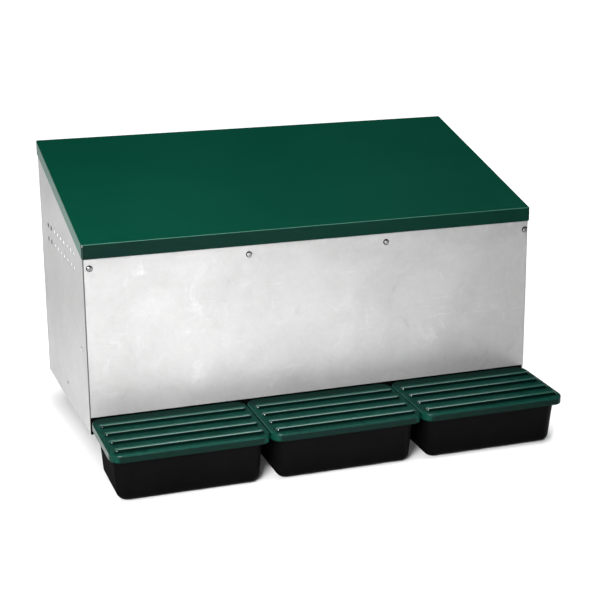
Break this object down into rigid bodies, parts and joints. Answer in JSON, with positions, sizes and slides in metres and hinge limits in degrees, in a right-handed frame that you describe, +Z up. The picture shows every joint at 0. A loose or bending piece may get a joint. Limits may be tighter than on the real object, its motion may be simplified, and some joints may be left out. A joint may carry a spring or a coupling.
{
  "type": "chicken nesting box",
  "caption": "Roll-away nest box of galvanised sheet with a hinged sloping roof, a closed front, sloped nest floors and hung egg tubs with hinged ribbed lids.",
  "frame": {"origin": "centre of the four base fixing holes, on the underside of the base pan, in the middle of the box's width and depth", "axes": "+X to the viewer's right when facing the egg tubs, +Y from the egg tubs to the hens' entrance, +Z up"},
  "size_m": [0.9038, 0.6171, 0.5635],
  "materials": {
    "galvanised": "hot-dip galvanised sheet, soft satin with faint spangle",
    "zinc_steel": "zinc-plated fasteners and hinges",
    "roof_paint": "dark green coil-coated sheet, satin",
    "black_plastic": "black polypropylene, semi-matt",
    "lid_plastic": "dark green moulded plastic, soft gloss",
    "mat_turf": "green moulded turf mat"
  },
  "bodies": {
    "carcass": {"left_side_panel": "galvanised", "right_side_panel": "galvanised", "front_panel": "galvanised", "base_pan": "galvanised", "rear_sill": "galvanised", "rear_top_rail": "galvanised", "divider_left": "galvanised", "divider_right": "galvanised", "egg_guard_left": "galvanised", "egg_guard_centre": "galvanised", "egg_guard_right": "galvanised", "front_screws": "zinc_steel", "front_screw_nuts": "zinc_steel", "guard_rivets": "zinc_steel", "hinge_fixed_leaves": "zinc_steel", "hinge_pins": "zinc_steel", "hinge_rivets_rail": "zinc_steel", "nest_floor_left": "black_plastic", "nest_floor_centre": "black_plastic", "nest_floor_right": "black_plastic"},
    "roof": {"hinge_moving_leaves": "zinc_steel", "hinge_rivets_roof": "zinc_steel", "roof_panel": "roof_paint"},
    "tub_left": {"egg_tub_left": "black_plastic"},
    "lid_left": {"tub_lid_left": "lid_plastic", "lid_pins_left": "zinc_steel"},
    "mat_left": {"nest_mat_left": "mat_turf"},
    "tub_centre": {"egg_tub_centre": "black_plastic"},
    "lid_centre": {"tub_lid_centre": "lid_plastic", "lid_pins_centre": "zinc_steel"},
    "mat_centre": {"nest_mat_centre": "mat_turf"},
    "tub_right": {"egg_tub_right": "black_plastic"},
    "lid_right": {"tub_lid_right": "lid_plastic", "lid_pins_right": "zinc_steel"},
    "mat_right": {"nest_mat_right": "mat_turf"}
  },
  "joints": [
    {"name": "roof_hinge", "type": "hinge", "parent": "carcass", "child": "roof", "pos_m": [0, 0.218, 0.461], "axis": [-1, 0, 0], "range_deg": [0, 110]},
    {"name": "tub_lift_left", "type": "slide", "parent": "carcass", "child": "tub_left", "axis": [0, 0, 1], "range_m": [0, 0.014]},
    {"name": "lid_hinge_left", "type": "hinge", "parent": "tub_left", "child": "lid_left", "pos_m": [-0.302, -0.23057, 0.0238], "axis": [-1, 0, 0], "range_deg": [0, 93]},
    {"name": "mat_lift_left", "type": "slide", "parent": "carcass", "child": "mat_left", "axis": [0, 0, 1], "range_m": [0, 0.12]},
    {"name": "tub_lift_centre", "type": "slide", "parent": "carcass", "child": "tub_centre", "axis": [0, 0, 1], "range_m": [0, 0.014]},
    {"name": "lid_hinge_centre", "type": "hinge", "parent": "tub_centre", "child": "lid_centre", "pos_m": [-0.0025, -0.23057, 0.0238], "axis": [-1, 0, 0], "range_deg": [0, 93]},
    {"name": "mat_lift_centre", "type": "slide", "parent": "carcass", "child": "mat_centre", "axis": [0, 0, 1], "range_m": [0, 0.12]},
    {"name": "tub_lift_right", "type": "slide", "parent": "carcass", "child": "tub_right", "axis": [0, 0, 1], "range_m": [0, 0.014]},
    {"name": "lid_hinge_right", "type": "hinge", "parent": "tub_right", "child": "lid_right", "pos_m": [0.297, -0.23057, 0.0238], "axis": [-1, 0, 0], "range_deg": [0, 93]},
    {"name": "mat_lift_right", "type": "slide", "parent": "carcass", "child": "mat_right", "axis": [0, 0, 1], "range_m": [0, 0.12]}
  ]
}
